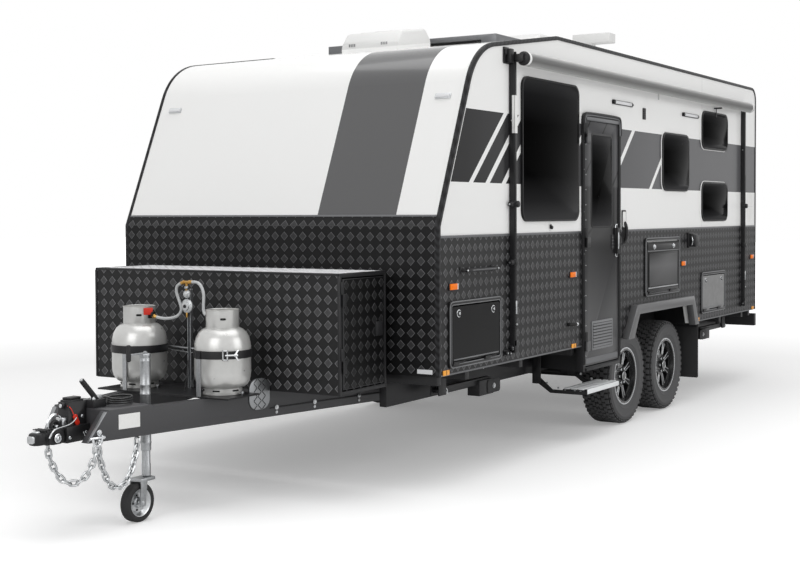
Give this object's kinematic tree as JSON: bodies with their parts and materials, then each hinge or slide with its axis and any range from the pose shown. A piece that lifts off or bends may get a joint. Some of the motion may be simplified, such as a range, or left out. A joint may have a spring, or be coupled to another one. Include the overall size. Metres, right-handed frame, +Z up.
{
  "type": "travel caravan",
  "caption": "Tandem-axle travel caravan with white upper body, black checkerplate lower body, front toolbox, gas bottles, rolled awning, entry step and jockey wheel",
  "frame": {"origin": "on the ground under the centre of the outline, on the caravan's middle plane", "axes": "+X forward to the coupling, +Y to the entry door's side, +Z up"},
  "size_m": [8.333, 2.634, 3.331],
  "materials": {
    "white_skin": "gloss white composite skin with charcoal bands",
    "checkerplate": "black powder-coated checkerplate",
    "black_frame": "satin black",
    "trim": "black frames and mouldings",
    "floor_board": "sealed floor board",
    "pane": "dark tinted acrylic",
    "roof_plastic": "white plastic",
    "solar": "dark solar cells",
    "tank": "black polyethylene",
    "lens": "amber, white and red lenses",
    "tread": "all-terrain tyre",
    "alloy": "gloss black alloy with machined lip",
    "step": "ribbed aluminium",
    "gas": "light grey enamel",
    "zinc": "bright zinc",
    "solid_rubber": "solid rubber",
    "cable": "black cable sheath"
  },
  "bodies": {
    "caravan": {"front_wall": "white_skin", "rear_wall": "white_skin", "near_wall_front": "white_skin", "near_wall_rear": "white_skin", "off_wall": "white_skin", "roof": "white_skin", "cladding": "checkerplate", "toolbox": "checkerplate", "chassis_rails": "black_frame", "chassis_members": "black_frame", "drawbar": "black_frame", "coupling": "black_frame", "rear_bumper": "black_frame", "running_gear": "black_frame", "arch_flares": "black_frame", "awning": "black_frame", "edge_mouldings": "trim", "window_frames": "trim", "entry_door_frame": "trim", "fittings": "trim", "floor": "floor_board", "floor_wells": "floor_board", "window_panes": "pane", "air_conditioner": "roof_plastic", "tv_antenna": "roof_plastic", "solar_panel": "solar", "water_tanks": "tank", "lamps": "lens", "spare_wheel": "tread", "gas_bottles": "gas", "gas_fittings": "zinc", "jockey_post": "zinc", "safety_chains": "zinc", "trailer_cable": "cable", "trailer_plug": "cable"},
    "wheel_front_near": {"tyre_front_near": "tread", "rim_front_near": "alloy"},
    "wheel_rear_near": {"tyre_rear_near": "tread", "rim_rear_near": "alloy"},
    "wheel_front_off": {"tyre_front_off": "tread", "rim_front_off": "alloy"},
    "wheel_rear_off": {"tyre_rear_off": "tread", "rim_rear_off": "alloy"},
    "entry_door_leaf": {"entry_door": "trim", "entry_door_glass": "pane"},
    "toolbox_near_leaf": {"toolbox_door_near": "checkerplate"},
    "toolbox_off_leaf": {"toolbox_door_off": "checkerplate"},
    "boot_near_lid": {"boot_hatch_near": "checkerplate"},
    "boot_off_lid": {"boot_hatch_off": "checkerplate"},
    "service_lid": {"service_hatch": "checkerplate"},
    "table_leaf": {"picnic_table": "trim"},
    "step": {"step_tread": "step"},
    "skylight": {"skylight_lid": "roof_plastic"},
    "jockey_slide": {"jockey_leg": "zinc"},
    "jockey_castor": {"jockey_fork": "zinc"},
    "jockey_roller": {"jockey_wheel": "solid_rubber"},
    "front_near_steady": {"steady_front_near": "black_frame"},
    "front_off_steady": {"steady_front_off": "black_frame"},
    "rear_near_steady": {"steady_rear_near": "black_frame"},
    "rear_off_steady": {"steady_rear_off": "black_frame"}
  },
  "joints": [
    {"name": "wheel_front_near_spin", "type": "hinge", "parent": "caravan", "child": "wheel_front_near", "pos_m": [-0.76, 1.045, 0.37], "axis": [0, 1, 0], "continuous": true},
    {"name": "wheel_front_off_spin", "type": "hinge", "parent": "caravan", "child": "wheel_front_off", "pos_m": [-0.76, -1.045, 0.37], "axis": [0, 1, 0], "continuous": true},
    {"name": "wheel_rear_near_spin", "type": "hinge", "parent": "caravan", "child": "wheel_rear_near", "pos_m": [-1.62, 1.045, 0.37], "axis": [0, 1, 0], "continuous": true},
    {"name": "wheel_rear_off_spin", "type": "hinge", "parent": "caravan", "child": "wheel_rear_off", "pos_m": [-1.62, -1.045, 0.37], "axis": [0, 1, 0], "continuous": true},
    {"name": "entry_door_swing", "type": "hinge", "parent": "caravan", "child": "entry_door_leaf", "pos_m": [0.2, 1.249, 1.43], "axis": [0, 0, -1], "range_deg": [0, 150]},
    {"name": "toolbox_near_swing", "type": "hinge", "parent": "caravan", "child": "toolbox_near_leaf", "pos_m": [2.764, 0.931, 0.97], "axis": [0, 0, -1], "range_deg": [0, 110]},
    {"name": "toolbox_off_swing", "type": "hinge", "parent": "caravan", "child": "toolbox_off_leaf", "pos_m": [2.764, -0.931, 0.97], "axis": [0, 0, 1], "range_deg": [0, 110]},
    {"name": "boot_near_fold", "type": "hinge", "parent": "caravan", "child": "boot_near_lid", "pos_m": [1.7855, 1.244, 0.762], "axis": [-1, 0, 0], "range_deg": [0, 100]},
    {"name": "boot_off_fold", "type": "hinge", "parent": "caravan", "child": "boot_off_lid", "pos_m": [1.7855, -1.244, 0.762], "axis": [1, 0, 0], "range_deg": [0, 100]},
    {"name": "service_fold", "type": "hinge", "parent": "caravan", "child": "service_lid", "pos_m": [-2.596, 1.244, 0.787], "axis": [-1, 0, 0], "range_deg": [0, 100]},
    {"name": "table_fold", "type": "hinge", "parent": "caravan", "child": "table_leaf", "pos_m": [-1.346, 1.244, 1.011], "axis": [-1, 0, 0], "range_deg": [0, 90]},
    {"name": "step_fold", "type": "hinge", "parent": "caravan", "child": "step", "pos_m": [-0.04, 0.885, 0.445], "axis": [-1, 0, 0], "range_deg": [0, 135]},
    {"name": "skylight_lift", "type": "hinge", "parent": "caravan", "child": "skylight", "pos_m": [0.653, 0, 2.8727], "axis": [0, -1, 0], "range_deg": [0, 50]},
    {"name": "jockey_wind", "type": "slide", "parent": "caravan", "child": "jockey_slide", "axis": [0, 0, 1], "range_m": [0, 0.13]},
    {"name": "jockey_swivel", "type": "hinge", "parent": "jockey_slide", "child": "jockey_castor", "pos_m": [3.49, 0.138, 0.225], "axis": [0, 0, 1], "continuous": true},
    {"name": "jockey_spin", "type": "hinge", "parent": "jockey_castor", "child": "jockey_roller", "pos_m": [3.56, 0.138, 0.105], "axis": [0, 1, 0], "continuous": true},
    {"name": "front_near_steady_fold", "type": "hinge", "parent": "caravan", "child": "front_near_steady", "pos_m": [1.77, 0.95, 0.545], "axis": [0, -1, 0], "range_deg": [0, 45]},
    {"name": "front_off_steady_fold", "type": "hinge", "parent": "caravan", "child": "front_off_steady", "pos_m": [1.77, -0.95, 0.545], "axis": [0, -1, 0], "range_deg": [0, 45]},
    {"name": "rear_near_steady_fold", "type": "hinge", "parent": "caravan", "child": "rear_near_steady", "pos_m": [-3.63, 0.95, 0.545], "axis": [0, 1, 0], "range_deg": [0, 45]},
    {"name": "rear_off_steady_fold", "type": "hinge", "parent": "caravan", "child": "rear_off_steady", "pos_m": [-3.63, -0.95, 0.545], "axis": [0, 1, 0], "range_deg": [0, 45]}
  ]
}
